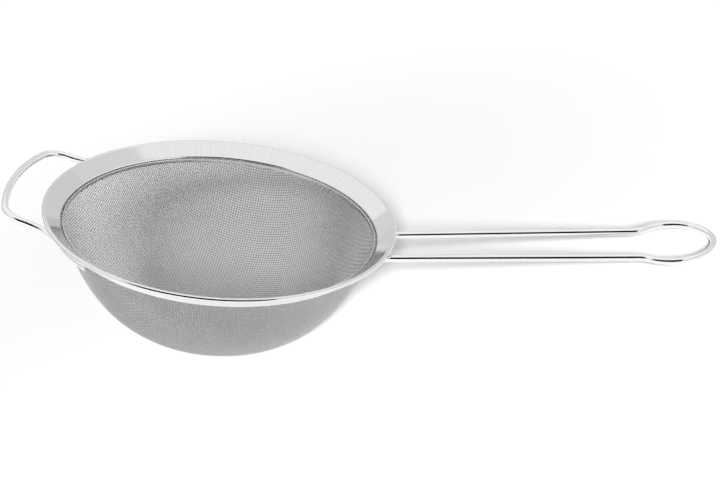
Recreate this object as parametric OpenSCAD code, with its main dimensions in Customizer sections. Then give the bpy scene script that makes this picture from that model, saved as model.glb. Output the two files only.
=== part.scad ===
// A round kitchen sieve of stainless steel, lying on a table as it is put down.
// A woven wire bowl is clamped in a flared rim. A long bent wire is the handle,
// and a short wire loop on the far side hooks over the edge of a pot.
// The sieve is drawn level, with the rim's top at z = 0 and the handle along +X,
// and then tipped until the bowl and the end of the handle both touch z = 0.

/* [Rim] */
// Outer diameter of the rim, over its rolled edge
rim_d = 200; // [190:1:240]
// Diameter of the rolled edge
bead_d = 2.6; // [2.2:0.1:3.4]
// Thickness of the rim's sheet
sheet_t = 0.8; // [0.5:0.1:0.9]
// Width of the flared edge, from the rim's outside in to the mouth of the collar
flange_w = 10.5; // [9:0.5:20]
// Depth of the bend between flange and collar, from the rim's top to the bend's centre
bend_drop = 7.9; // [5.5:0.1:12]
// Outer radius of that bend
bend_r = 1.6; // [1.2:0.1:2.4]
// Height of the straight collar below the bend's centre
collar_h = 2; // [1.6:0.1:6]

/* [Clamp ring] */
// Thickness of the ring that clamps the cloth in the collar
ring_t = 0.7; // [0.5:0.1:1.2]
// Height of the ring, up from the collar's lower edge
ring_h = 2.1; // [1.5:0.1:3.5]

/* [Bowl] */
// Diameter of one wire of the woven cloth
cloth_wire_d = 0.4; // [0.2:0.01:0.5]
// Thickness of the bowl's closed shell, less than one wire, because the weave is about half air
shell_t = 0.2; // [0.15:0.01:0.4]
// Depth of the bowl's bottom below the rim's top
bowl_depth = 75.5; // [60:0.5:95]
// Lean of the bowl's wall where it leaves the collar, from upright
wall_lean = 22; // [5:1:35]
// How far the wall keeps that lean before it curves in
wall_pull = 38; // [25:1:45]
// How far the floor stays level before it curves up, as a share of the mouth's radius
floor_share = 0.693; // [0.45:0.001:0.78]
// Length of the cloth's edge that is clamped in the collar
skirt_h = 1.8; // [1:0.1:3]

/* [Handle] */
// Diameter of the handle's wire
handle_wire_d = 4; // [3:0.1:5]
// Length of each straight rod, from its end under the flange to the bend before the eye
rod_len = 140; // [100:1:180]
// Distance between the rods at the rim, centre to centre
rod_gap_rim = 29.4; // [22:0.2:34]
// Distance between the rods at the eye, centre to centre
rod_gap_eye = 32.3; // [24:0.1:38]
// Distance of the rods' ends out from the mouth of the collar
rod_end_out = 2.9; // [2.5:0.1:4]
// Rise of the rods above the level of the rim
handle_rise = 10; // [4:0.5:16]
// Further rise of the hanging eye above the line of the rods
eye_lift = 2.5; // [1:0.5:8]
// Radius of the bend that lifts the eye
lift_r = 40; // [20:1:80]
// Inner diameter of the hanging eye
eye_d = 41.4; // [36:0.2:50]
// Centre-line radius of the bends between the rods and the eye
neck_r = 12; // [8:0.5:16]

/* [Front loop] */
// Diameter of the front loop's wire
loop_wire_d = 4; // [3:0.1:5]
// Distance out from the mouth at which the wire runs round under the flange
tuck_out = 4.9; // [4.5:0.1:5.9]
// Length of wire that runs under the flange at each end
tuck_len = 22; // [14:0.5:40]
// Angle off the loop's middle at which the wire leaves the rim
leave_angle = 38.8; // [34:0.2:46]
// Rise of the loop above the level of the rim
loop_rise = 12.2; // [4:0.2:18]
// Centre-line radius of the bend that starts the rise
loop_lift_r = 18; // [10:1:30]
// Centre-line radius of the outward sweep next to the rim
flare_r = 34; // [24:0.5:44]
// Straight run between the sweep and the corner
leg_len = 1; // [0.5:0.5:20]
// Centre-line radius of the loop's corners
corner_r = 13.5; // [9:0.5:20]
// Angle through which each half of the loop's front bar bows
bar_sweep = 17.2; // [8:0.2:25]

/* [Welds] */
// Radius of the weld beads under the flange
weld_r = 2.4; // [1.8:0.1:2.8]
// Length of the weld along each end of the front loop
loop_weld_len = 8; // [4:0.5:12]
// Space between a wire and the flange that it is welded to
weld_gap = 0.1; // [0.05:0.05:0.3]

/* [Hidden] */
$fn = 72;

// Fineness of the drawn outlines
arc_steps = 8;
curl_steps = 16;
bowl_steps = 36;
// How far round the rolled edge the sheet is curled, from the flange
curl_turn = 285;
// Space that the subtracted shapes run past what they cut
slack = 20;
// Every second piece of a bent wire is finer by this much, and the pieces beside it
// run on over its ends, so that no two curved faces lie on each other
joint_step = 0.02;
joint_run = 0.1;

rim_r = rim_d / 2;
mouth_r = rim_r - flange_w;
cloth_t = 2 * cloth_wire_d;
skirt_r = mouth_r - cloth_t;
collar_z = -bend_drop - collar_h;
rod_end_x = mouth_r + rod_end_out;
tuck_r = mouth_r + tuck_out;

// Radii of the sheet's middle line round the rolled edge and round the bend
curl_mid = bead_d / 2 - sheet_t / 2;
bend_mid = bend_r - sheet_t / 2;
curl_c = [rim_r - bead_d / 2, -bead_d / 2];
bend_c = [mouth_r + bend_r, -bend_drop];
// Slope of the flange, a line that touches both circles from above
flange_line = curl_c - bend_c;
flange_slope = atan2(flange_line.y, flange_line.x) - asin((bend_mid - curl_mid) / norm(flange_line));
flange_up = [-sin(flange_slope), cos(flange_slope)];

// Height of a line that lies a given distance under the flange's lower face, at radius r
function under_flange(r, distance) =
  bend_c.y + (bend_r - sheet_t - distance + (r - bend_c.x) * sin(flange_slope)) / cos(flange_slope);

// Points of an arc about c, and the same as steps from one angle to another
function arc_points(c, r, from, to, steps) =
  [for (i = [0:steps]) let (a = from + (to - from) * i / steps) c + r * [cos(a), sin(a)]];

// One face of the rim's sheet, at a distance out from its middle line
function sheet_face(out) = concat(
  [[bend_c.x - bend_mid - out, collar_z]],
  arc_points(bend_c, bend_mid + out, 180, 90 + flange_slope, arc_steps),
  arc_points(curl_c, curl_mid + out, 90 + flange_slope, 90 + flange_slope - curl_turn, curl_steps)
);

// The bowl's outer line, a curve that leaves the collar with the wall's lean and ends level
wall_start = [mouth_r, collar_z];
wall_handle = wall_start - wall_pull * [sin(wall_lean), cos(wall_lean)];
floor_end = [0, -bowl_depth];
floor_handle = [floor_share * mouth_r, -bowl_depth];
function bowl_point(t) =
  pow(1 - t, 3) * wall_start + 3 * pow(1 - t, 2) * t * wall_handle
  + 3 * (1 - t) * t * t * floor_handle + pow(t, 3) * floor_end;
function bowl_way(t) =
  3 * pow(1 - t, 2) * (wall_handle - wall_start) + 6 * (1 - t) * t * (floor_handle - wall_handle)
  + 3 * t * t * (floor_end - floor_handle);
function bowl_inner_point(t) =
  let (way = bowl_way(t), inward = [way.y, -way.x] / norm(way))
  t == 1 ? floor_end + [0, shell_t] : bowl_point(t) + shell_t * inward;
bowl_outer = [for (i = [0:bowl_steps]) bowl_point(i / bowl_steps)];
bowl_inner = [for (i = [bowl_steps:-1:1]) bowl_inner_point(i / bowl_steps)];

// Places along a bent wire. A step is [roll, run, turn, radius]: roll about the wire,
// run straight on, then turn left, or right where the turn is negative.
function moved(v) = [[1, 0, 0, v.x], [0, 1, 0, v.y], [0, 0, 1, v.z], [0, 0, 0, 1]];
function turned(a) = [[cos(a), -sin(a), 0, 0], [sin(a), cos(a), 0, 0], [0, 0, 1, 0], [0, 0, 0, 1]];
function rolled(a) = [[1, 0, 0, 0], [0, cos(a), -sin(a), 0], [0, sin(a), cos(a), 0], [0, 0, 0, 1]];
function after_step(s) =
  rolled(s[0])
  * moved([s[1] + s[3] * sin(abs(s[2])), sign(s[2]) * s[3] * (1 - cos(s[2])), 0])
  * turned(s[2]);
function place_at(start, steps, n) =
  n == 0 ? start : place_at(start, steps, n - 1) * after_step(steps[n - 1]);
function spot(place) = [place[0][3], place[1][3], place[2][3]];
// The same steps walked from the far end
function walked_back(steps) = [for (i = [len(steps) - 1:-1:0])
  [i == len(steps) - 1 ? 0 : steps[i + 1][0], steps[i][1], -steps[i][2], steps[i][3]]];

// The handle's half, from the tip of the eye back to the end of the rod
handle_r = handle_wire_d / 2;
eye_r = eye_d / 2 + handle_r;
eye_rise = handle_rise + eye_lift;
rod_reach = lift_r * sin(eye_lift) + rod_len * cos(eye_lift);
rod_lean = asin((rod_gap_eye - rod_gap_rim) / 2 / rod_reach);
eye_turn = 180 - asin((rod_gap_eye / 2 + neck_r * cos(rod_lean)) / (eye_r + neck_r));
handle_steps = [
  [0, 0, eye_turn, eye_r],
  [0, 0, rod_lean + 90 - eye_turn, neck_r],
  [90, 0, eye_lift, lift_r],
  [-90, rod_len, 0, 0]
];
eye_frame = [
  [0, -cos(eye_rise), -sin(eye_rise), 0],
  [1, 0, 0, 0],
  [0, -sin(eye_rise), cos(eye_rise), 0],
  [0, 0, 0, 1]
];
rod_end_from_tip = spot(place_at(eye_frame, handle_steps, len(handle_steps)));
rod_top = [rod_end_x - handle_r * sin(handle_rise), rod_end_from_tip.y];
rod_end_z = under_flange(norm(rod_top), weld_gap) - handle_r * cos(handle_rise);
eye_tip = [rod_end_x - rod_end_from_tip.x, 0, rod_end_z - rod_end_from_tip.z];
handle_start = moved(eye_tip) * eye_frame;
rod_end = [rod_end_x, rod_end_from_tip.y, rod_end_z];

// The front loop's half, from its end under the flange round to the middle of the bar
loop_r = loop_wire_d / 2;
tuck_z = under_flange(tuck_r, loop_r + weld_gap);
tuck_turn = tuck_len / tuck_r * 180 / PI;
leave_heading = 270 - leave_angle;
loop_lift = atan(-cos(leave_heading) * tan(loop_rise));
loop_roll = atan2(
  sin(loop_rise) * sin(leave_heading),
  cos(loop_rise) * cos(loop_lift) - sin(loop_rise) * sin(loop_lift) * cos(leave_heading)
);
flare_turn = atan2(
  -cos(loop_lift) * sin(leave_heading),
  sin(loop_lift) * sin(loop_rise) - cos(loop_lift) * cos(leave_heading) * cos(loop_rise)
);
leg_steps = [
  [0, 0, tuck_turn, tuck_r],
  [90, 0, loop_lift, loop_lift_r],
  [loop_roll - 90, 0, -flare_turn, flare_r],
  [0, leg_len, 90 - bar_sweep, corner_r]
];
loop_start_angle = 180 - leave_angle - tuck_turn;
loop_start = turned(loop_start_angle) * moved([tuck_r, 0, tuck_z]) * turned(90);
bar_start = spot(place_at(loop_start, leg_steps, len(leg_steps)));
loop_steps = concat(leg_steps, [[0, 0, bar_sweep, bar_start.y / sin(bar_sweep)]]);
bar_place = place_at(loop_start, loop_steps, len(loop_steps)) * turned(180);

// The tip that lays the sieve down: a line that touches the bowl and the eye from below
tip_line = [for (p = bowl_outer)
  let (d = [eye_tip.x, eye_tip.z] - p) atan2(d.y, d.x) - asin(handle_r / norm(d))];
table_tip = max(tip_line);
function tipped(p) = [
  p.x * cos(table_tip) + p.y * sin(table_tip),
  p.y * cos(table_tip) - p.x * sin(table_tip)
];
bowl_foot_z = min([for (p = bowl_outer) tipped(p).y]);
bowl_foot_x = [for (p = bowl_outer) if (tipped(p).y == bowl_foot_z) tipped(p).x][0];

module lay_down() {
  translate([-bowl_foot_x, 0, -bowl_foot_z]) rotate([0, table_tip, 0]) children();
}

module both_sides() {
  children();
  mirror([0, 1, 0]) children();
}

// One step of a wire, run on by the given lengths before its start and after its end
module wire_step(d, s, before, after) {
  rotate([s[0], 0, 0]) {
    if (s[1] > 0) {
      translate([-before, 0, 0]) rotate([0, 90, 0]) cylinder(h = s[1] + before + after, d = d);
    }
    if (s[2] != 0) {
      degrees_per_mm = 180 / PI / s[3];
      translate([s[1], 0, 0]) mirror([0, s[2] < 0 ? 1 : 0, 0])
        translate([0, s[3], 0]) rotate([0, 0, -90 - before * degrees_per_mm])
          rotate_extrude(angle = abs(s[2]) + (before + after) * degrees_per_mm)
            translate([s[3], 0]) circle(d = d);
    }
  }
}

module bent_wire(d, start, steps) {
  last = len(steps) - 1;
  for (i = [0:last]) {
    fine = i % 2 == 1;
    multmatrix(place_at(start, steps, i)) wire_step(
      fine ? d - joint_step : d,
      steps[i],
      fine || i == 0 ? 0 : joint_run,
      fine || i == last ? 0 : joint_run
    );
  }
}

// The pressed rim: collar, bend, flared flange and rolled edge in one sheet
module rim_flange() {
  outer = sheet_face(sheet_t / 2);
  inner = sheet_face(-sheet_t / 2);
  color("gainsboro") rotate_extrude()
    polygon(concat(outer, [for (i = [len(inner) - 1:-1:0]) inner[i]]));
}

// The flat ring inside the collar, with a rounded top edge
module clamp_ring() {
  ring_top = collar_z + ring_h;
  round_r = ring_t / 2;
  color("lightgray") rotate_extrude()
    polygon(concat(
      [[skirt_r - ring_t, collar_z], [skirt_r, collar_z]],
      arc_points([skirt_r - round_r, ring_top - round_r], round_r, 0, 180, arc_steps)
    ));
}

// The woven cloth as a thin shell, with its edge, two wires thick, standing up in the collar
module mesh_bowl() {
  color("darkgray") rotate_extrude()
    polygon(concat(
      [[skirt_r, collar_z], [skirt_r, collar_z + skirt_h], [mouth_r, collar_z + skirt_h]],
      bowl_outer,
      bowl_inner
    ));
}

// The long handle: two rods and a round hanging eye, all one wire
module handle_wire() {
  color("silver") both_sides() bent_wire(handle_wire_d, handle_start, handle_steps);
}

// The short loop opposite the handle, its ends tucked round under the flange
module front_loop() {
  color("silver") both_sides() bent_wire(loop_wire_d, bar_place, walked_back(loop_steps));
}

// Outline of what a weld can't fill: the collar, the bend and all above the flange's lower face
module rim_cutter() {
  bend_x = bend_c.x;
  polygon([
    [bend_x - slack, -slack],
    [bend_x, -slack],
    [bend_x, under_flange(bend_x, 0)],
    [rim_r, under_flange(rim_r, 0)],
    [rim_r, slack],
    [bend_x - slack, slack]
  ]);
}

// A bead round the end of a rod, between the rod and the flange above it
module handle_weld() {
  color("dimgray") difference() {
    translate([rod_end.x, rod_end.y, rod_end.z + handle_r]) sphere(r = weld_r);
    rotate_extrude($fn = 240) rim_cutter();
    translate(rod_end) rotate([0, 90 - handle_rise, -rod_lean])
      translate([0, 0, -slack]) cylinder(h = 2 * slack, d = handle_wire_d);
  }
}

// A fillet along the end of the loop's wire, on its inner side under the flange
module loop_weld() {
  weld_turn = loop_weld_len / tuck_r * 180 / PI;
  bead_c = [tuck_r, tuck_z] + loop_r * flange_up;
  color("dimgray") rotate([0, 0, loop_start_angle]) rotate_extrude(angle = weld_turn)
    difference() {
      translate(bead_c) circle(r = weld_r);
      translate([tuck_r, tuck_z]) circle(d = loop_wire_d);
      translate([tuck_r, tuck_z - slack]) square(2 * slack);
      rim_cutter();
    }
}

lay_down() rim_flange();
lay_down() clamp_ring();
lay_down() mesh_bowl();
lay_down() handle_wire();
lay_down() front_loop();
lay_down() handle_weld();  // handle_weld_left
lay_down() mirror([0, 1, 0]) handle_weld();  // handle_weld_right
lay_down() loop_weld();  // loop_weld_left
lay_down() mirror([0, 1, 0]) loop_weld();  // loop_weld_right
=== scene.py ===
"""Dresses the kitchen sieve: polished rim, clamp ring, woven wire bowl, bent wires and welds.

Every piece is worked out in millimetres in the rim's own frame, with the rim's top at z = 0,
its axis along Z and the handle along +X. Lean.lay() then tips it as the sieve lies on a table,
on the bottom of its bowl and the tip of its handle, and turns it into metres.
"""

import logging
import math
from dataclasses import dataclass, field
from enum import Enum
from typing import Iterable, Optional, Union

import bpy
import numpy as np
from mathutils import Matrix, Vector


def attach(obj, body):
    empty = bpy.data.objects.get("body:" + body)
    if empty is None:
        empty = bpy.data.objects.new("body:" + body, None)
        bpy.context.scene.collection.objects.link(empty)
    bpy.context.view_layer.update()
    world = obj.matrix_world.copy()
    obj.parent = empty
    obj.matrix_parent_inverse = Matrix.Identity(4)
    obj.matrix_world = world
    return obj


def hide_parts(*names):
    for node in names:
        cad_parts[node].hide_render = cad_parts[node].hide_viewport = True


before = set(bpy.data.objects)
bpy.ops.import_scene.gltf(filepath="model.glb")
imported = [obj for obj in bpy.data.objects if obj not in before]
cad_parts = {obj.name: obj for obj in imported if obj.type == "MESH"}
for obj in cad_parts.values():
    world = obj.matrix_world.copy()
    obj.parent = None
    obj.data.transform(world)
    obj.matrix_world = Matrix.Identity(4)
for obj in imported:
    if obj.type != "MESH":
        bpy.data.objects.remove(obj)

LOG = logging.getLogger("sieve")
MM = 0.001
BODY = "root"
Array = np.ndarray
Colour = tuple[float, float, float, float]
SocketValue = Union[float, tuple, bpy.types.NodeSocket]


class Finish(Enum):
    """The record's material slots."""

    RIM = "rim_steel"
    RING = "ring_steel"
    CLOTH = "woven_wire"
    WIRE = "wire_steel"
    WELD = "weld_metal"


class Thread(Enum):
    """The two sets of wires in the plain weave; the value is the side that the first crossing goes to."""

    WARP = 1
    WEFT = -1


# Shapes


def arc(centre: Array, radius: float, start: float, end: float, steps: int) -> Array:
    """Points of a circular arc: centre plus radius times (cos a, sin a) for even steps of a.

    Args:
        centre: The arc's centre.
        radius: Its radius.
        start: The first angle in degrees.
        end: The last angle in degrees.
        steps: The number of equal steps.

    Returns:
        Array of shape (steps + 1, 2).
    """
    angle = np.radians(np.linspace(start, end, steps + 1))
    return np.asarray(centre) + radius * np.column_stack([np.cos(angle), np.sin(angle)])


def unit(vectors: Array) -> Array:
    """Each vector divided by its length; a vector of no length stays as it is."""
    return vectors / np.maximum(np.linalg.norm(vectors, axis=-1, keepdims=True), 1e-12)


@dataclass
class Surface:
    """A surface on a grid of rows and columns, with its faces and the UV of each face corner.

    Attributes:
        grid: Points of shape (rows, columns, 3), in millimetres in the rim's frame.
        wrap_rows: Whether the last row joins the first.
        wrap_columns: Whether the last column joins the first.
        closed_ends: Whether one point closes the first row and one the last.
        scale_uv: Size of the whole grid in UV, along the columns and along the rows.
    """

    grid: Array
    wrap_rows: bool = False
    wrap_columns: bool = True
    closed_ends: bool = False
    scale_uv: tuple[float, float] = (1.0, 1.0)

    def points(self) -> Array:
        """The grid's points as a list, with the two closing points after them."""
        flat = self.grid.reshape(-1, 3)
        if not self.closed_ends:
            return flat
        return np.concatenate([flat, self.grid[:1].mean(1), self.grid[-1:].mean(1)])

    def quads(self) -> tuple[Array, Array]:
        """The grid's four-sided faces.

        Returns:
            Corner indices of shape (faces, 4), and corner UVs of shape (faces, 4, 2).
        """
        rows, columns = self.grid.shape[:2]
        row = np.arange(rows if self.wrap_rows else rows - 1)
        column = np.arange(columns if self.wrap_columns else columns - 1)
        r, c = (a.ravel() for a in np.meshgrid(row, column, indexing="ij"))
        corners_r = np.stack([r, r, r + 1, r + 1], 1)
        corners_c = np.stack([c, c + 1, c + 1, c], 1)
        index = (corners_r % rows) * columns + corners_c % columns
        uv = np.stack([
            self.scale_uv[0] * corners_c / columns,
            self.scale_uv[1] * corners_r / rows,
        ], 2)
        return index, uv

    def end_fans(self) -> tuple[Array, Array]:
        """The triangles round the two closing points.

        Returns:
            Corner indices of shape (faces, 3), and corner UVs of shape (faces, 3, 2).
        """
        rows, columns = self.grid.shape[:2]
        c = np.arange(columns)
        following = (c + 1) % columns
        last = (rows - 1) * columns
        start = np.full(columns, rows * columns)
        first_fan = np.stack([following, c, start], 1)
        last_fan = np.stack([last + c, last + following, start + 1], 1)
        index = np.concatenate([first_fan, last_fan])
        uv = np.zeros((len(index), 3, 2))
        uv[..., 0] = self.scale_uv[0] * (index % columns) / columns
        uv[columns:, :, 1] = self.scale_uv[1]
        return index, uv


def make_object(
    name: str, points: Array, faces: Iterable[Array], uvs: Optional[Iterable[Array]] = None
) -> bpy.types.Object:
    """Puts whole arrays of points and faces into a new mesh object at the origin.

    Args:
        name: The object's name.
        points: Array of shape (points, 3), in metres in the row frame.
        faces: Arrays of shape (faces, corners), one for each number of corners.
        uvs: Arrays of shape (faces, corners, 2) that match faces.

    Returns:
        The new object, in the scene and shaded smooth.
    """
    faces = list(faces)
    corners = np.concatenate([f.ravel() for f in faces]).astype(np.int32)
    counts = np.concatenate([np.full(len(f), f.shape[1]) for f in faces])
    starts = (np.cumsum(counts) - counts).astype(np.int32)
    mesh = bpy.data.meshes.new(name)
    mesh.vertices.add(len(points))
    mesh.loops.add(len(corners))
    mesh.polygons.add(len(starts))
    mesh.vertices.foreach_set("co", np.ascontiguousarray(points, np.float32).ravel())
    mesh.loops.foreach_set("vertex_index", corners)
    mesh.polygons.foreach_set("loop_start", starts)
    if uvs is not None:
        layer = mesh.uv_layers.new(name="UVMap")
        flat = np.concatenate([u.reshape(-1, 2) for u in uvs]).astype(np.float32)
        layer.data.foreach_set("uv", flat.ravel())
    mesh.update(calc_edges=True)
    mesh.validate()
    mesh.shade_smooth()
    piece = bpy.data.objects.new(name, mesh)
    bpy.context.scene.collection.objects.link(piece)
    return piece


# The rim's frame and the table


@dataclass(frozen=True)
class Lean:
    """How the level sieve is tipped to lie on the table.

    Attributes:
        angle: Angle in radians, about Y, from the rim's axis to the table's upright.
        foot: Where the bowl touches the table, x and z after the tip, in millimetres.
    """

    angle: float
    foot: tuple[float, float]

    @classmethod
    def onto_table(cls, outline: Array, tip: Array, wire_r: float) -> "Lean":
        """Finds the straight line that touches the bowl and the tip of the handle from below.

        From each point p of the outline, the line to the tip's underside slopes by
        atan2(tip - p) - asin(wire radius / distance); the steepest of them clears the bowl.

        Args:
            outline: The bowl's outer line, points (r, z).
            tip: Centre (x, z) of the handle's wire at its tip.
            wire_r: Radius of that wire.

        Returns:
            The lean.
        """
        way = tip - outline
        slope = np.arctan2(way[:, 1], way[:, 0]) - np.arcsin(wire_r / np.linalg.norm(way, axis=1))
        angle = float(slope.max())
        tipped_x = outline[:, 0] * math.cos(angle) + outline[:, 1] * math.sin(angle)
        tipped_z = outline[:, 1] * math.cos(angle) - outline[:, 0] * math.sin(angle)
        lowest = int(tipped_z.argmin())
        return cls(angle, (float(tipped_x[lowest]), float(tipped_z[lowest])))

    def turn(self, vectors: Array) -> Array:
        """Vectors (..., 3) turned about Y: x cos + z sin, y, z cos - x sin."""
        c, s = math.cos(self.angle), math.sin(self.angle)
        return vectors @ np.array([[c, 0.0, -s], [0.0, 1.0, 0.0], [s, 0.0, c]])

    def lay(self, points: Array) -> Array:
        """Points (..., 3) in millimetres in the rim's frame, as metres in the row frame."""
        return MM * (self.turn(points) - np.array([self.foot[0], 0.0, self.foot[1]]))

    def into_rim_frame(self) -> tuple[tuple, tuple]:
        """Mapping node's location and rotation that bring Object coordinates back to the rim's frame.

        Returns:
            Location in metres and rotation in radians.
        """
        back = Lean(-self.angle, (0.0, 0.0))
        location = MM * back.turn(np.array([self.foot[0], 0.0, self.foot[1]]))
        return tuple(float(v) for v in location), (0.0, -self.angle, 0.0)


# Finishes


class Graph:
    """A material's node tree, with short calls that add and join nodes."""

    def __init__(self, name: str) -> None:
        """Makes an empty material with a Principled shader joined to its output.

        Args:
            name: The material's name.
        """
        self.material = bpy.data.materials.new(name)
        self.material.use_nodes = True
        self.tree = self.material.node_tree
        self.tree.nodes.clear()
        self.shader = self.tree.nodes.new("ShaderNodeBsdfPrincipled")
        output = self.tree.nodes.new("ShaderNodeOutputMaterial")
        self.tree.links.new(self.shader.outputs["BSDF"], output.inputs["Surface"])

    def node(self, kind: str, inputs: Optional[dict] = None, **settings: object) -> bpy.types.Node:
        """Adds a node.

        Args:
            kind: The node's type.
            inputs: Values or sockets for its inputs, by name or index.
            settings: The node's own properties.

        Returns:
            The node.
        """
        new = self.tree.nodes.new(kind)
        for key, value in settings.items():
            setattr(new, key, value)
        for key, value in (inputs or {}).items():
            self.put(new.inputs[key], value)
        return new

    def put(self, socket: bpy.types.NodeSocket, value: SocketValue) -> None:
        """Joins a socket to another, or gives it a value.

        Args:
            socket: The input.
            value: An output socket, number, vector or colour.
        """
        if isinstance(value, bpy.types.NodeSocket):
            self.tree.links.new(value, socket)
        else:
            socket.default_value = value

    def shade(self, **values: SocketValue) -> None:
        """Sets the shader's inputs; an underscore in a name stands for a space."""
        for key, value in values.items():
            self.put(self.shader.inputs[key.replace("_", " ")], value)

    def noise(self, vector: SocketValue, scale: float, detail: float = 4.0) -> bpy.types.NodeSocket:
        """Adds fractal noise.

        Args:
            vector: Where it is read.
            scale: Its number of cells per unit.
            detail: Its number of finer layers.

        Returns:
            The noise's value, about 0 to 1.
        """
        inputs = {"Vector": vector, "Scale": scale, "Detail": detail, "Roughness": 0.6}
        return self.node("ShaderNodeTexNoise", inputs).outputs["Fac"]

    def spread(self, value: SocketValue, low: float, high: float) -> bpy.types.NodeSocket:
        """Maps noise from its usual 0.3 to 0.7 to low to high.

        Args:
            value: The noise.
            low: The result at 0.3.
            high: The result at 0.7.

        Returns:
            The mapped value.
        """
        inputs = {
            "Value": value,
            "From Min": 0.3,
            "From Max": 0.7,
            "To Min": low,
            "To Max": high,
        }
        return self.node("ShaderNodeMapRange", inputs, clamp=True).outputs["Result"]

    def tint(self, value: SocketValue, dark: Colour, light: Colour) -> bpy.types.NodeSocket:
        """Mixes two colours.

        Args:
            value: The share of the second, 0 to 1.
            dark: The first colour.
            light: The second colour.

        Returns:
            The mixed colour.
        """
        mix = self.node("ShaderNodeMix", {"Factor": value}, data_type="RGBA")
        mix.inputs[6].default_value = dark
        mix.inputs[7].default_value = light
        return mix.outputs[2]

    def bump(self, height: SocketValue, distance: float, strength: float) -> bpy.types.NodeSocket:
        """Adds a bump.

        Args:
            height: The height, 0 to 1.
            distance: Height of 1 in metres.
            strength: Its share, 0 to 1.

        Returns:
            The bent normal.
        """
        inputs = {"Height": height, "Distance": distance, "Strength": strength}
        return self.node("ShaderNodeBump", inputs).outputs["Normal"]


@dataclass(frozen=True)
class PressedSheet:
    """Polished stainless sheet, with faint streaks that run out from the rim's axis.

    Attributes:
        name: The material's name.
        lean: The sieve's lean, so that the streaks follow the rim.
        dark: Colour in the streaks.
        light: Colour between them.
        roughness: Lowest and highest roughness.
        streaks: Number of streaks in a radian.
    """

    name: str
    lean: Lean
    dark: Colour = (0.765, 0.765, 0.76, 1.0)
    light: Colour = (0.815, 0.815, 0.81, 1.0)
    roughness: tuple[float, float] = (0.06, 0.14)
    streaks: float = 70.0

    def material(self) -> bpy.types.Material:
        """Streaks are noise on the direction from the axis, so they are the same all along a radius."""
        g = Graph(self.name)
        place = g.node("ShaderNodeTexCoord").outputs["Object"]
        location, rotation = self.lean.into_rim_frame()
        level = g.node(
            "ShaderNodeMapping", {"Vector": place, "Location": location, "Rotation": rotation}
        ).outputs["Vector"]
        flat = g.node(
            "ShaderNodeVectorMath", {0: level, 1: (1.0, 1.0, 0.0)}, operation="MULTIPLY"
        ).outputs["Vector"]
        outwards = g.node("ShaderNodeVectorMath", {0: flat}, operation="NORMALIZE").outputs["Vector"]
        streak = g.noise(outwards, self.streaks, 6.0)
        cloud = g.noise(level, 35.0, 3.0)
        blend = g.node(
            "ShaderNodeMath", {0: streak, 1: cloud}, operation="MULTIPLY"
        ).outputs["Value"]
        doubled = g.node(
            "ShaderNodeMath", {0: blend, 1: 2.0}, operation="MULTIPLY"
        ).outputs["Value"]
        g.shade(
            Base_Color=g.tint(g.spread(streak, 0.0, 1.0), self.dark, self.light),
            Metallic=1.0,
            Roughness=g.spread(doubled, *self.roughness),
            Normal=g.bump(streak, 0.00002, 0.1),
        )
        return g.material


@dataclass(frozen=True)
class DrawnWire:
    """Thick polished wire, with fine lines along it from the drawing die.

    Attributes:
        name: The material's name.
        dark: Colour in the lines.
        light: Colour between them.
        roughness: Lowest and highest roughness.
        lines: Number of line cells round the wire.
    """

    name: str
    dark: Colour = (0.82, 0.82, 0.815, 1.0)
    light: Colour = (0.92, 0.92, 0.915, 1.0)
    roughness: tuple[float, float] = (0.06, 0.12)
    lines: float = 9.0

    def material(self) -> bpy.types.Material:
        """Lines are noise on the UV map, drawn out along the wire."""
        g = Graph(self.name)
        uv = g.node("ShaderNodeTexCoord").outputs["UV"]
        stretched = g.node(
            "ShaderNodeMapping", {"Vector": uv, "Scale": (self.lines, 0.03, 1.0)}
        ).outputs["Vector"]
        line = g.noise(stretched, 4.0, 5.0)
        cloud = g.noise(g.node("ShaderNodeTexCoord").outputs["Object"], 60.0, 3.0)
        g.shade(
            Base_Color=g.tint(g.spread(line, 0.0, 1.0), self.dark, self.light),
            Metallic=1.0,
            Roughness=g.spread(cloud, *self.roughness),
            Normal=g.bump(line, 0.00001, 0.2),
        )
        return g.material


@dataclass(frozen=True)
class FineWireWithPaintedShade:
    """Bright fine wire of the cloth, a little duller where it has been drawn over the former; its colour is
    set darker than the other steel as painted shade, standing for the shade and dark reflections inside the
    bowl.

    Attributes:
        name: The material's name.
        dark: Darkest colour; both colours are set low as painted shade.
        light: Lightest colour; the step between the two is the wire's random tone.
        roughness: Lowest and highest roughness.
    """

    name: str
    # Painted shade: both colours are kept low, below the handle's steel, to stand for the shade inside the
    # bowl; the step between them is random tone.
    dark: Colour = (0.52, 0.52, 0.515, 1.0)
    light: Colour = (0.64, 0.64, 0.635, 1.0)
    roughness: tuple[float, float] = (0.35, 0.5)

    def material(self) -> bpy.types.Material:
        """Colour varies in fine specks and roughness in soft clouds a few centimetres across; the colour's
        low level is painted shade.
        """
        g = Graph(self.name)
        place = g.node("ShaderNodeTexCoord").outputs["Object"]
        cloud = g.noise(place, 40.0, 4.0)
        speck = g.noise(place, 900.0, 2.0)
        g.shade(
            # Painted shade in the base colour's low level; the speck mixing is random tone of the wire.
            Base_Color=g.tint(g.spread(speck, 0.0, 1.0), self.dark, self.light),
            Metallic=1.0,
            Roughness=g.spread(cloud, *self.roughness),
        )
        return g.material


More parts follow.
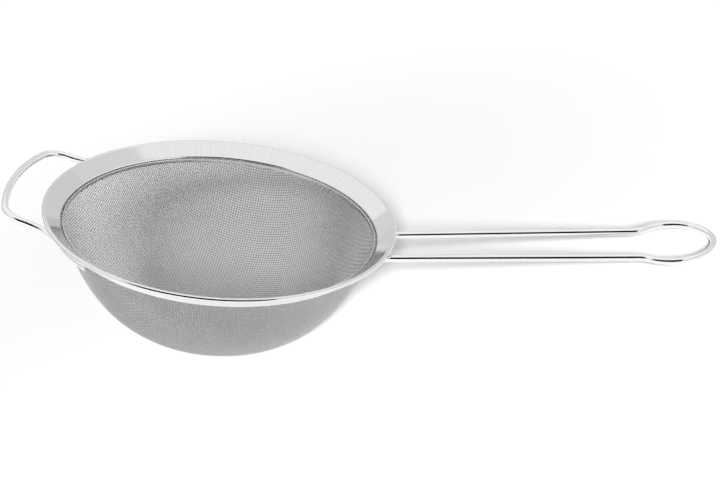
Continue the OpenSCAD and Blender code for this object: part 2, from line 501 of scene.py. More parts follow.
@dataclass(frozen=True)
class WeldMetal:
    """Dull metal of a spot weld, with the brown and blue tints of its heat.

    Attributes:
        name: The material's name.
        dark: Burnt colour.
        light: Bare colour.
        roughness: Lowest and highest roughness.
    """

    name: str
    dark: Colour = (0.3, 0.26, 0.22, 1.0)
    light: Colour = (0.56, 0.56, 0.58, 1.0)
    roughness: tuple[float, float] = (0.3, 0.5)

    def material(self) -> bpy.types.Material:
        """Tints and ripples are noise about a millimetre across."""
        g = Graph(self.name)
        place = g.node("ShaderNodeTexCoord").outputs["Object"]
        ripple = g.noise(place, 700.0, 4.0)
        g.shade(
            Base_Color=g.tint(g.spread(ripple, 0.0, 1.0), self.dark, self.light),
            Metallic=1.0,
            Roughness=g.spread(ripple, *self.roughness),
            Normal=g.bump(ripple, 0.0002, 0.5),
        )
        return g.material


# The rim


@dataclass
class Rim:
    """The pressed rim: an upright collar, a bend, a flared flange and a rolled edge.

    Attributes:
        diameter: Over the rolled edge.
        bead_d: Diameter of the rolled edge.
        sheet_t: The sheet's thickness.
        mouth_d: Inside of the collar.
        bend_drop: Depth of the bend's centre.
        bend_r: Outer radius of the bend.
        collar_h: Straight height of the collar under the bend's centre.
        curl_turn: Degrees that the sheet is curled round the edge.
        edge_r: Rounding of the sheet's two cut edges.
        segments: Steps round the rim.
    """

    diameter: float = 200.0
    bead_d: float = 2.6
    sheet_t: float = 0.8
    mouth_d: float = 179.0
    bend_drop: float = 7.9
    bend_r: float = 1.6
    collar_h: float = 2.0
    curl_turn: float = 285.0
    edge_r: float = 0.15
    segments: int = 480

    @property
    def collar_z(self) -> float:
        """Height of the collar's lower edge."""
        return -self.bend_drop - self.collar_h

    @property
    def curl_centre(self) -> Array:
        """Centre (r, z) of the rolled edge."""
        return np.array([self.diameter / 2 - self.bead_d / 2, -self.bead_d / 2])

    @property
    def bend_centre(self) -> Array:
        """Centre (r, z) of the bend."""
        return np.array([self.mouth_d / 2 + self.bend_r, -self.bend_drop])

    @property
    def slope(self) -> float:
        """The flange's slope in degrees: a line that touches both middle-line circles from above."""
        way = self.curl_centre - self.bend_centre
        lift = (self.bend_r - self.bead_d / 2) / np.linalg.norm(way)
        return float(np.degrees(np.arctan2(way[1], way[0]) - np.arcsin(lift)))

    def under_flange(self, radius: float, distance: float) -> float:
        """Height of a line under the flange's lower face.

        Args:
            radius: Distance from the rim's axis.
            distance: Distance from the lower face.

        Returns:
            The height.
        """
        slope = math.radians(self.slope)
        x, z = self.bend_centre
        along = (radius - x) * math.sin(slope)
        return float(z + (self.bend_r - self.sheet_t - distance + along) / math.cos(slope))

    def face(self, out: float) -> Array:
        """One face of the sheet, offset from its middle line.

        Args:
            out: Distance from the middle line, towards the upper and outer side.

        Returns:
            Points (r, z) from the collar's lower edge to the end of the curl.
        """
        bend_mid = self.bend_r - self.sheet_t / 2
        curl_mid = self.bead_d / 2 - self.sheet_t / 2
        level = 90.0 + self.slope
        foot_z = self.collar_z + self.edge_r
        collar = np.array([[self.bend_centre[0] - bend_mid - out, z]
                           for z in np.linspace(foot_z, self.bend_centre[1] - 0.2, 4)])
        bend = arc(self.bend_centre, bend_mid + out, 180.0, level, 16)
        curl = arc(self.curl_centre, curl_mid + out, level, level - self.curl_turn, 44)
        share = np.linspace(0.0, 1.0, 14)[1:-1, None]
        flange = bend[-1] * (1 - share) + curl[0] * share
        return np.concatenate([collar, bend, flange, curl])

    def outline(self) -> Array:
        """The sheet's closed outline (r, z): outer face, curled end, inner face, rounded foot."""
        half = self.sheet_t / 2
        outer, inner = self.face(half), self.face(-half)
        middle = (outer[0] + inner[0]) / 2
        foot_inner = arc(
            [outer[0, 0] + self.edge_r, outer[0, 1]], self.edge_r, 270.0, 180.0, 4
        )[:-1]
        foot_outer = arc(
            [inner[0, 0] - self.edge_r, inner[0, 1]], self.edge_r, 360.0, 270.0, 4
        )[1:]
        bottom = np.array([[middle[0], self.collar_z]])
        return np.concatenate([outer, inner[::-1], foot_outer, bottom, foot_inner])

    def build(self, lean: Lean) -> bpy.types.Object:
        """Spins the outline round the axis: (r cos a, r sin a, z).

        Args:
            lean: The sieve's lean.

        Returns:
            The rim.
        """
        surface = Surface(spin(self.outline(), self.segments), wrap_rows=True)
        index, uv = surface.quads()
        piece = make_object("pressed_rim", lean.lay(surface.points()), [index], [uv])
        dress(piece, PressedSheet("pressed_sheet", lean).material())
        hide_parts("rim_flange")
        return piece


def spin(outline: Array, segments: int) -> Array:
    """Spins points (r, z) round Z.

    Args:
        outline: Points of shape (n, 2).
        segments: Steps round the axis.

    Returns:
        Grid of shape (segments, n, 3).
    """
    angle = np.linspace(0.0, 2 * np.pi, segments, endpoint=False)[:, None]
    r, z = outline[:, 0], outline[:, 1]
    return np.stack([r * np.cos(angle), r * np.sin(angle), z + 0 * angle], 2)


def dress(piece: bpy.types.Object, material: bpy.types.Material) -> None:
    """Gives a new piece its material, and lets it ride on the sieve's one body.

    Args:
        piece: The object.
        material: Its material.
    """
    piece.data.materials.clear()
    piece.data.materials.append(material)
    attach(piece, BODY)
    LOG.info("%s: %d faces", piece.name, len(piece.data.polygons))


@dataclass
class ClampRing:
    """The narrow ring that clamps the cloth in the collar.

    Attributes:
        outer_r: Its outer radius.
        foot_z: Height of its lower edge.
        thickness: Its thickness.
        height: Its height.
        edge_r: Rounding of its lower edges.
        segments: Steps round it.
    """

    outer_r: float
    foot_z: float
    thickness: float = 0.7
    height: float = 2.1
    edge_r: float = 0.12
    segments: int = 480

    def outline(self) -> Array:
        """The closed outline (r, z): two rounded lower corners and a half-round top."""
        half = self.thickness / 2
        inner_r = self.outer_r - self.thickness
        low = self.foot_z + self.edge_r
        top = arc([self.outer_r - half, self.foot_z + self.height - half], half, 0.0, 180.0, 12)
        left = arc([inner_r + self.edge_r, low], self.edge_r, 180.0, 270.0, 4)
        right = arc([self.outer_r - self.edge_r, low], self.edge_r, 270.0, 360.0, 4)
        return np.concatenate([top, left, right])[::-1]

    def build(self, lean: Lean) -> bpy.types.Object:
        """Spins the outline round the axis.

        Args:
            lean: The sieve's lean.

        Returns:
            The ring.
        """
        surface = Surface(spin(self.outline(), self.segments), wrap_rows=True)
        index, uv = surface.quads()
        piece = make_object("cloth_clamp_ring", lean.lay(surface.points()), [index], [uv])
        finish = PressedSheet(
            "ring_sheet", lean, (0.66, 0.66, 0.655, 1.0), (0.76, 0.76, 0.755, 1.0), (0.18, 0.3), 110.0
        )
        dress(piece, finish.material())
        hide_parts("clamp_ring")
        return piece


# The woven bowl


@dataclass(frozen=True)
class Meridian:
    """The bowl's line as a height over the distance from the axis, straight on past the mouth.

    Attributes:
        radius: Distances from the axis, increasing.
        height: Heights.
        length: Arc lengths from the middle.
        slope: Rises per distance.
    """

    radius: Array
    height: Array
    length: Array
    slope: Array

    @classmethod
    def from_line(cls, line: Array, length: Array, lean: float, extra: float) -> "Meridian":
        """Adds a straight stretch to the bowl's line.

        Args:
            line: Points (r, z) from the middle to the mouth.
            length: Their arc lengths.
            lean: Lean of the wall at the mouth, in radians from upright.
            extra: Length of the straight stretch.

        Returns:
            The longer line.
        """
        last = line[-1] + extra * np.array([math.sin(lean), math.cos(lean)])
        radius, height = np.append(line[:, 0], last[0]), np.append(line[:, 1], last[1])
        return cls(radius, height, np.append(length, length[-1] + extra), np.gradient(height, radius))

    def at(self, place: Array) -> tuple[Array, Array]:
        """The bowl's height and gradient.

        Args:
            place: Points of shape (n, 2), seen from above.

        Returns:
            Heights of shape (n,) and gradients of shape (n, 2).
        """
        distance = np.linalg.norm(place, axis=1)
        slope = np.interp(distance, self.radius, self.slope)
        return np.interp(distance, self.radius, self.height), slope[:, None] * unit(place)

    def knot(self, first: Array, second: Array, opposite: Array, step: float) -> Array:
        """Where equal steps from two knots meet on the bowl, for many knots at once.

        Newton's method on the two squared distances less the squared step, from the fourth
        corner of the parallelogram.

        Args:
            first: The knots before on one set of wires, of shape (n, 2).
            second: The knots before on the other set.
            opposite: The knots before on both.
            step: The distance.

        Returns:
            The new knots, of shape (n, 2).
        """
        place = first + second - opposite
        first_z, second_z = self.at(first)[0], self.at(second)[0]
        for _ in range(NEWTON_ROUNDS):
            height, gradient = self.at(place)
            way_1, way_2 = place - first, place - second
            rise_1, rise_2 = height - first_z, height - second_z
            miss_1 = (way_1**2).sum(1) + rise_1**2 - step**2
            miss_2 = (way_2**2).sum(1) + rise_2**2 - step**2
            pull_1 = 2 * (way_1 + rise_1[:, None] * gradient)
            pull_2 = 2 * (way_2 + rise_2[:, None] * gradient)
            area = pull_1[:, 0] * pull_2[:, 1] - pull_1[:, 1] * pull_2[:, 0]
            place = place - np.stack([
                miss_1 * pull_2[:, 1] - miss_2 * pull_1[:, 1],
                miss_2 * pull_1[:, 0] - miss_1 * pull_2[:, 0],
            ], 1) / area[:, None]
        return place


NEWTON_ROUNDS = 10


@dataclass
class Cloth:
    """The woven wire bowl, warp and weft drawn over a former from a flat piece.

    The wires keep their length and their crossings stay a pitch apart, so the square holes
    shear into diamonds half-way between the two wires through the middle, like a fishing net
    laid over a ball.

    Attributes:
        rim: The rim that holds it.
        wire_d: Diameter of one wire.
        pitch: Distance between wires.
        depth: Depth of the bowl under the rim's top.
        wall_lean: Lean of the wall at the collar, in degrees from upright.
        wall_pull: How far the wall keeps that lean.
        floor_share: How far the floor stays level, as a share of the mouth's radius.
        skirt_h: Height of the clamped edge.
        bias: Degrees from +X to the weft.
        sides: Sides of the tube that stands for a wire.
        bands: Pieces that each set of wires is split into.
        samples: Steps along the bowl's line.
    """

    rim: Rim
    wire_d: float = 0.4
    pitch: float = 1.55
    depth: float = 75.5
    wall_lean: float = 22.0
    wall_pull: float = 38.0
    floor_share: float = 0.693
    skirt_h: float = 1.8
    bias: float = -5.0
    sides: int = 6
    bands: int = 3
    samples: int = 4000

    @property
    def thickness(self) -> float:
        """Two wires, where they cross."""
        return 2 * self.wire_d

    def outer_line(self, steps: int) -> Array:
        """The bowl's outer line, a Bezier curve from the collar down to the middle of the floor.

        Args:
            steps: Number of steps.

        Returns:
            Points (r, z).
        """
        lean = math.radians(self.wall_lean)
        start = np.array([self.rim.mouth_d / 2, self.rim.collar_z])
        control = [
            start,
            start - self.wall_pull * np.array([math.sin(lean), math.cos(lean)]),
            np.array([self.floor_share * self.rim.mouth_d / 2, -self.depth]),
            np.array([0.0, -self.depth]),
        ]
        t = np.linspace(0.0, 1.0, steps + 1)[:, None]
        weights = [(1 - t) ** 3, 3 * (1 - t) ** 2 * t, 3 * (1 - t) * t**2, t**3]
        return sum(w * p for w, p in zip(weights, control))

    def middle_line(self) -> tuple[Array, Array, Array]:
        """The middle of the cloth's thickness, from the floor's middle up to the clamped edge.

        Returns:
            Arc lengths, points (r, z) and outward normals.
        """
        outer = self.outer_line(self.samples)[::-1]
        top = np.array([[outer[-1, 0], outer[-1, 1] + h]
                        for h in np.linspace(0.0, self.skirt_h, 40)[1:]])
        outer = np.concatenate([outer, top])
        way = unit(np.gradient(outer, axis=0))
        normal = np.stack([way[:, 1], -way[:, 0]], 1)
        middle = outer - self.thickness / 2 * normal
        length = np.concatenate([[0.0], np.cumsum(np.linalg.norm(np.diff(middle, axis=0), axis=1))])
        return length, middle, normal

    def net(self) -> tuple[Array, Array]:
        """One quarter of the net of half pitches over the bowl.

        The two wires through the middle run straight up the wall. The other knots follow
        from them, one diagonal of the net after the other.

        Returns:
            Arc lengths from the middle and angles from +X, of shape (n, n), not a number
            where the cloth has ended.
        """
        length, middle, _ = self.middle_line()
        bowl = slice(0, self.samples - 1)
        line = Meridian.from_line(
            middle[bowl], length[bowl], math.radians(self.wall_lean), 10 * self.pitch
        )
        step = self.pitch / 2
        size = int(length[-1] / step) + 3
        edge = np.interp(length[-1] + 2 * step, line.length, line.radius)
        axis = np.interp(np.arange(size) * step, line.length, line.radius)
        place = np.full((size, size, 2), np.nan)
        place[:, 0] = np.stack([axis, 0 * axis], 1)
        place[0, :] = np.stack([0 * axis, axis], 1)
        for diagonal in range(2, 2 * size - 1):
            i = np.arange(max(1, diagonal - size + 1), min(size, diagonal))
            j = diagonal - i
            known = np.isfinite(place[i - 1, j, 0] + place[i, j - 1, 0])
            i, j = i[known], j[known]
            knots = line.knot(place[i - 1, j], place[i, j - 1], place[i - 1, j - 1], step)
            knots[np.linalg.norm(knots, axis=1) > edge] = np.nan
            place[i, j] = knots
        distance = np.linalg.norm(place, axis=2)
        return np.interp(distance, line.radius, line.length), np.arctan2(place[..., 1], place[..., 0])

    def wires(self, thread: Thread) -> tuple[Array, Array, Array]:
        """Every wire of one set, sampled twice in each pitch, at its crossings and half-way.

        The wave is half a thickness times cos(pi * along / pitch), turned over on every
        second wire and on the other set, which is a plain weave.

        Args:
            thread: Warp or weft.

        Returns:
            Points and outward normals of shape (wires, samples, 3), and which samples are on the cloth.
        """
        length, middle, normal = self.middle_line()
        reach = length[-1]
        from_middle, quarter_angle = self.net()
        count = int(reach / self.pitch)
        line = np.arange(-count, count + 1)
        across, along = np.meshgrid(2 * line, np.arange(-2 * count, 2 * count + 1), indexing="ij")
        column, row = (across, along) if thread is Thread.WARP else (along, across)
        distance = np.nan_to_num(from_middle[abs(column), abs(row)], nan=2 * reach)
        part = np.nan_to_num(quarter_angle[abs(column), abs(row)])
        angle = np.arctan2(np.sign(row) * np.sin(part), np.sign(column) * np.cos(part))
        angle = angle + math.radians(self.bias)
        near = np.minimum(distance, reach)
        r = np.interp(near, length, middle[:, 0])
        z = np.interp(near, length, middle[:, 1])
        n_r = np.interp(near, length, normal[:, 0])
        n_z = np.interp(near, length, normal[:, 1])
        outward = np.stack([n_r * np.cos(angle), n_r * np.sin(angle), n_z], 2)
        side = thread.value * np.where(line % 2 == 0, 1.0, -1.0)[:, None]
        wave = self.wire_d / 2 * np.cos(np.pi * along / 2) * side
        place = np.stack([r * np.cos(angle), r * np.sin(angle), z], 2)
        return place + wave[..., None] * outward, unit(outward), distance <= reach

    def threads(self, thread: Thread, lean: Lean) -> list[bpy.types.Object]:
        """Builds one set of wires as tubes with closed ends.

        Args:
            thread: Warp or weft.
            lean: The sieve's lean.

        Returns:
            The pieces, bands of neighbouring wires.
        """
        points, outward, on_cloth = self.wires(thread)
        before, after = beside(on_cloth)
        on_cloth = on_cloth & (before | after)
        here = np.arange(on_cloth.shape[1])
        ahead = np.take_along_axis(points, np.where(after, here + 1, here)[..., None], 1)
        behind = np.take_along_axis(points, np.where(before, here - 1, here)[..., None], 1)
        along = unit(ahead - behind)
        across = unit(np.cross(outward, along))
        up = np.cross(along, across)
        corner = np.linspace(0.0, 2 * np.pi, self.sides, endpoint=False)
        radius = TUBE_FILL * self.wire_d / 2
        ring = points[:, :, None] + radius * (
            np.cos(corner)[:, None] * across[:, :, None] + np.sin(corner)[:, None] * up[:, :, None]
        )
        share = np.cumsum(on_cloth.sum(1)) / on_cloth.sum()
        band_of = np.minimum((share * self.bands).astype(int), self.bands - 1)
        pieces = []
        for band in range(self.bands):
            chosen = band_of == band
            name = f"{thread.name.lower()}_wires_{band + 1}"
            pieces.append(tube_bundle(name, ring[chosen], on_cloth[chosen], lean))
        return pieces

    def build(self, lean: Lean) -> list[bpy.types.Object]:
        """Weaves the bowl.

        Args:
            lean: The sieve's lean.

        Returns:
            The pieces of cloth.
        """
        # The cloth's colour is painted shade, darker than the rest of the steel.
        material = FineWireWithPaintedShade("fine_wire_painted_shade").material()
        pieces = [p for thread in Thread for p in self.threads(thread, lean)]
        for piece in pieces:
            dress(piece, material)
            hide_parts("mesh_bowl")
        return pieces


# A six-sided tube looks as thick as a round wire when its corners stand out this much further.
TUBE_FILL = 1.05


def beside(kept: Array) -> tuple[Array, Array]:
    """Whether the sample before and the sample after each one exist.

    Args:
        kept: Which samples exist, of shape (wires, samples).

    Returns:
        Two arrays of the same shape.
    """
    before = np.zeros_like(kept)
    before[:, 1:] = kept[:, :-1]
    after = np.zeros_like(kept)
    after[:, :-1] = kept[:, 1:]
    return before, after


def tube_bundle(name: str, rings: Array, kept: Array, lean: Lean) -> bpy.types.Object:
    """Joins rings of points along each wire into tubes, and caps both ends of every wire.

    Args:
        name: The object's name.
        rings: Points of shape (wires, samples, corners, 3).
        kept: Which samples exist, of shape (wires, samples).
        lean: The sieve's lean.

    Returns:
        The object.
    """
    corners = rings.shape[2]
    index = np.where(kept, np.cumsum(kept.ravel()).reshape(kept.shape) - 1, -1) * corners
    joined = kept[:, :-1] & kept[:, 1:]
    here, there = index[:, :-1][joined], index[:, 1:][joined]
    c = np.arange(corners)
    following = (c + 1) % corners
    sides = np.stack([
        here[:, None] + c,
        here[:, None] + following,
        there[:, None] + following,
        there[:, None] + c,
    ], 2).reshape(-1, 4)
    before, after = beside(kept)
    first = index[kept & ~before][:, None] + c[::-1]
    last = index[kept & ~after][:, None] + c
    points = lean.lay(rings[kept].reshape(-1, 3))
    return make_object(name, points, [sides, first, last])


# Bent wires


def roll_matrix(degrees: float) -> Array:
    """A turn about X."""
    c, s = math.cos(math.radians(degrees)), math.sin(math.radians(degrees))
    return np.array([[1, 0, 0, 0], [0, c, -s, 0], [0, s, c, 0], [0, 0, 0, 1.0]])


def turn_matrix(degrees: float) -> Array:
    """A turn about Z."""
    c, s = math.cos(math.radians(degrees)), math.sin(math.radians(degrees))
    return np.array([[c, -s, 0, 0], [s, c, 0, 0], [0, 0, 1, 0], [0, 0, 0, 1.0]])


def move_matrix(x: float, y: float, z: float) -> Array:
    """A move."""
    return np.array([[1, 0, 0, x], [0, 1, 0, y], [0, 0, 1, z], [0, 0, 0, 1.0]])


@dataclass(frozen=True)
class Bend:
    """One step along a wire: roll about it, run straight on, then turn left, or right where negative.

    Attributes:
        roll: Roll in degrees.
        run: Length of the straight part.
        turn: Turn in degrees.
        radius: Centre-line radius of the turn.
    """

    roll: float = 0.0
    run: float = 0.0
    turn: float = 0.0
    radius: float = 0.0

    def local(self, share: Array) -> tuple[Array, Array]:
        """Points and directions in the step's own frame; a step either runs or turns.

        Args:
            share: Shares of the way, 0 to 1.

        Returns:
            Points and directions of shape (n, 3).
        """
        angle = np.radians(self.turn) * share
        side = math.copysign(self.radius, self.turn)
        x = self.run * share + self.radius * np.sin(np.abs(angle))
        y = side * (1 - np.cos(angle))
        zero = np.zeros_like(share)
        return np.stack([x, y, zero], 1), np.stack([np.cos(angle), np.sin(angle), zero], 1)

    def matrix(self) -> Array:
        """The frame after the step, seen from the frame before it."""
        x, y, z = self.local(np.array([1.0]))[0][0]
        return roll_matrix(self.roll) @ move_matrix(x, y, z) @ turn_matrix(self.turn)

    def length(self) -> float:
        """Length of wire in the step."""
        return self.run + self.radius * abs(math.radians(self.turn))


@dataclass
class WirePath:
    """A wire's centre line from a start frame and a list of steps.

    Attributes:
        start: The start frame, X along the wire.
        steps: The steps.
    """

    start: Array
    steps: list[Bend]

    def end(self) -> Array:
        """The frame at the end."""
        place = self.start
        for step in self.steps:
            place = place @ step.matrix()
        return place

    def trace(self, degrees: float = 1.5, spacing: float = 4.0) -> tuple[Array, Array]:
        """Points and directions along the wire, close together in bends.

        Args:
            degrees: Largest turn between points.
            spacing: Largest distance between points.

        Returns:
            Points and directions of shape (n, 3).
        """
        place, points, ways = self.start, [], []
        for step in self.steps:
            count = max(2, math.ceil(abs(step.turn) / degrees), math.ceil(step.length() / spacing))
            point, way = step.local(np.linspace(0.0, 1.0, count + 1))
            rolled = place @ roll_matrix(step.roll)
            keep = slice(0 if not points else 1, None)
            points.append((point @ rolled[:3, :3].T + rolled[:3, 3])[keep])
            ways.append((way @ rolled[:3, :3].T)[keep])
            place = place @ step.matrix()
        return np.concatenate(points), np.concatenate(ways)


def mirrored_line(points: Array, ways: Array) -> tuple[Array, Array]:
    """A half line that starts on the plane y = 0, joined to its mirror image.

    Args:
        points: Points of the half line.
        ways: Directions of the half line.

    Returns:
        Points and directions of the whole line, from the far end of the image.
    """
    flip = np.array([1.0, -1.0, 1.0])
    image, image_ways = (points * flip)[::-1], -(ways * flip)[::-1]
    return np.concatenate([image[:-1], points]), np.concatenate([image_ways[:-1], ways])


def wire_surface(points: Array, ways: Array, radius: float, edge_r: float, sides: int = 40) -> Surface:
    """Carries a circle along a line, with rounded cut ends.

    The circle at a point is centre + radius (cos a * side + sin a * top), where side is the
    level direction across the wire and top is at right angles to both.

    Args:
        points: The line's points.
        ways: Its directions.
        radius: The wire's radius.
        edge_r: Rounding of the cut ends.
        sides: Points round the wire.

    Returns:
        The surface, columns round the wire and rows along it.
    """
    bend = np.radians(np.linspace(90.0, 0.0, 6))
    inset = edge_r * (1 - np.sin(bend))
    narrow = radius - edge_r + edge_r * np.cos(bend)
    flat = np.array([0.02, 0.35, 0.7]) * (radius - edge_r)
    end_radius = np.concatenate([flat, narrow])
    end_inset = np.concatenate([np.zeros(3), inset])
    first = points[0] + end_inset[:, None] * ways[0]
    last = points[-1] - end_inset[::-1, None] * ways[-1]
    inner = slice(1, -1)
    centre = np.concatenate([first, points[inner], last])
    heading = np.concatenate([
        np.repeat(ways[:1], len(first), 0), ways[inner], np.repeat(ways[-1:], len(last), 0)
    ])
    radii = np.concatenate([end_radius, np.full(len(points) - 2, radius), end_radius[::-1]])
    side = unit(np.cross([0.0, 0.0, 1.0], heading))
    top = np.cross(heading, side)
    angle = np.linspace(0.0, 2 * np.pi, sides, endpoint=False)
    circle = np.cos(angle)[:, None] * side[:, None] + np.sin(angle)[:, None] * top[:, None]
    grid = centre[:, None] + radii[:, None, None] * circle
    length = float(np.linalg.norm(np.diff(centre, axis=0), axis=1).sum())
    return Surface(grid, closed_ends=True, scale_uv=(1.0, length))


def wire_object(name: str, line: tuple[Array, Array], radius: float, lean: Lean) -> bpy.types.Object:
    """Builds a wire's object.

    Args:
        name: The object's name.
        line: Points and directions of the centre line.
        radius: The wire's radius.
        lean: The sieve's lean.

    Returns:
        The object.
    """
    surface = wire_surface(*line, radius, edge_r=0.35)
    quads, quad_uv = surface.quads()
    fans, fan_uv = surface.end_fans()
    return make_object(name, lean.lay(surface.points()), [quads, fans], [quad_uv, fan_uv])


@dataclass
class Handle:
    """The long handle: two rods and a round hanging eye in one wire, welded under the flange.

    Attributes:
        rim: The rim that it is welded to.
        wire_d: Its wire.
        rod_len: Straight length of each rod.
        gap_rim: Distance between the rods at the rim.
        gap_eye: Distance between the rods at the eye.
        end_x: Distance of the rods' ends from the axis.
        rise: Rise of the rods in degrees.
        eye_lift: Further rise of the eye.
        lift_r: Radius of the bend that lifts the eye.
        eye_d: Inner diameter of the eye.
        neck_r: Radius of the bends next to the eye.
        weld_gap: Space between the rods and the flange.
    """

    rim: Rim
    wire_d: float = 4.0
    rod_len: float = 140.0
    gap_rim: float = 29.4
    gap_eye: float = 32.3
    end_x: float = 92.4
    rise: float = 10.0
    eye_lift: float = 2.5
    lift_r: float = 40.0
    eye_d: float = 41.4
    neck_r: float = 12.0
    weld_gap: float = 0.1

    def half(self) -> WirePath:
        """Half of the wire, from the eye's tip at the origin back to the end of one rod.

        The eye and the bends beside it touch where their centres and the joint are in line,
        which gives how far round the eye goes.

        Returns:
            The path, with its start frame at the origin.
        """
        lift = math.radians(self.eye_lift)
        reach = self.lift_r * math.sin(lift) + self.rod_len * math.cos(lift)
        lean = math.degrees(math.asin((self.gap_eye - self.gap_rim) / 2 / reach))
        eye_r = (self.eye_d + self.wire_d) / 2
        joint = (self.gap_eye / 2 + self.neck_r * math.cos(math.radians(lean))) / (eye_r + self.neck_r)
        round_eye = 180.0 - math.degrees(math.asin(joint))
        rise = math.radians(self.rise + self.eye_lift)
        start = np.array([
            [0, -math.cos(rise), -math.sin(rise), 0],
            [1, 0, 0, 0],
            [0, -math.sin(rise), math.cos(rise), 0],
            [0, 0, 0, 1.0],
        ])
        return WirePath(start, [
            Bend(turn=round_eye, radius=eye_r),
            Bend(turn=lean + 90.0 - round_eye, radius=self.neck_r),
            Bend(roll=90.0, turn=self.eye_lift, radius=self.lift_r),
            Bend(roll=-90.0, run=self.rod_len),
        ])

    def placed(self) -> WirePath:
        """The half wire, moved so that the rod's end touches the flange with its gap."""
        path = self.half()
        end = path.end()[:3, 3]
        radius = self.wire_d / 2
        rise = math.radians(self.rise)
        top = math.hypot(self.end_x - radius * math.sin(rise), end[1])
        end_z = self.rim.under_flange(top, self.weld_gap) - radius * math.cos(rise)
        path.start = move_matrix(self.end_x - end[0], 0.0, end_z - end[2]) @ path.start
        return path

    def tip(self) -> Array:
        """Centre (x, z) of the wire at the eye's tip."""
        return self.placed().start[[0, 2], 3]

    def build(self, lean: Lean) -> bpy.types.Object:
        """Builds the handle.

        Args:
            lean: The sieve's lean.

        Returns:
            The handle.
        """
        line = mirrored_line(*self.placed().trace())
        piece = wire_object("handle_bent_wire", line, self.wire_d / 2, lean)
        dress(piece, DrawnWire("drawn_wire").material())
        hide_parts("handle_wire")
        return piece


@dataclass
class FrontLoop:
    """The loop opposite the handle, its ends tucked round under the flange.

    Attributes:
        rim: The rim that it is welded to.
        wire_d: Its wire.
        tuck_r: Radius at which it runs under the flange.
        tuck_len: Length under the flange.
        leave_angle: Degrees off the loop's middle at which it leaves the rim.
        rise: Rise of the loop in degrees.
        lift_r: Radius of the bend that starts the rise.
        flare_r: Radius of the outward sweep next to the rim.
        leg_len: Straight run before the corner.
        corner_r: Radius of the corners.
        bar_sweep: Degrees through which each half of the bar bows.
        weld_gap: Space between the wire and the flange.
    """

    rim: Rim
    wire_d: float = 4.0
    tuck_r: float = 94.4
    tuck_len: float = 22.0
    leave_angle: float = 38.8
    rise: float = 12.2
    lift_r: float = 18.0
    flare_r: float = 34.0
    leg_len: float = 1.0
    corner_r: float = 13.5
    bar_sweep: float = 17.2
    weld_gap: float = 0.1

    def half(self) -> WirePath:
        """Half of the wire, from its end under the flange to the middle of the bar.

        The lift bends the level wire into the loop's sloping plane, so its angle and the roll
        and turn after it come from the two planes. The bar's radius makes it end at y = 0.

        Returns:
            The path.
        """
        height = self.rim.under_flange(self.tuck_r, self.wire_d / 2 + self.weld_gap)
        tuck_turn = math.degrees(self.tuck_len / self.tuck_r)
        rise = math.radians(self.rise)
        leaving = math.radians(270.0 - self.leave_angle)
        lift = math.atan(-math.cos(leaving) * math.tan(rise))
        roll = math.atan2(
            math.sin(rise) * math.sin(leaving),
            math.cos(rise) * math.cos(lift) - math.sin(rise) * math.sin(lift) * math.cos(leaving),
        )
        flare = math.atan2(
            -math.cos(lift) * math.sin(leaving),
            math.sin(lift) * math.sin(rise) - math.cos(lift) * math.cos(leaving) * math.cos(rise),
        )
        begin = 180.0 - self.leave_angle - tuck_turn
        start = turn_matrix(begin) @ move_matrix(self.tuck_r, 0.0, height) @ turn_matrix(90.0)
        steps = [
            Bend(turn=tuck_turn, radius=self.tuck_r),
            Bend(roll=90.0, turn=math.degrees(lift), radius=self.lift_r),
            Bend(roll=math.degrees(roll) - 90.0, turn=-math.degrees(flare), radius=self.flare_r),
            Bend(run=self.leg_len),
            Bend(turn=90.0 - self.bar_sweep, radius=self.corner_r),
        ]
        bar_y = WirePath(start, steps).end()[1, 3]
        bow = float(bar_y / math.sin(math.radians(self.bar_sweep)))
        return WirePath(start, steps + [Bend(turn=self.bar_sweep, radius=bow)])

    def build(self, lean: Lean) -> bpy.types.Object:
        """Builds the loop.

        Args:
            lean: The sieve's lean.

        Returns:
            The loop.
        """
        points, ways = self.half().trace()
        line = mirrored_line(points[::-1], -ways[::-1])
        piece = wire_object("front_rest_loop", line, self.wire_d / 2, lean)
        dress(piece, DrawnWire("drawn_loop_wire").material())
        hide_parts("front_loop")
        return piece


@dataclass
class Welds:
    """The spot welds under the flange, which stay as the CAD has them.

    Attributes:
        nodes: Names of the CAD nodes.
    """

    nodes: list[str] = field(default_factory=lambda: [
        "handle_weld_left", "handle_weld_right", "loop_weld_left", "loop_weld_right"
    ])

    def dress(self) -> None:
        """Gives each weld its dull, heat-tinted metal."""
        material = WeldMetal("weld_metal").material()
        for name in self.nodes:
            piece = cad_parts[name]
            piece.data.materials.clear()
            piece.data.materials.append(material)
            LOG.info("%s: %d faces", name, len(piece.data.polygons))


# The studio


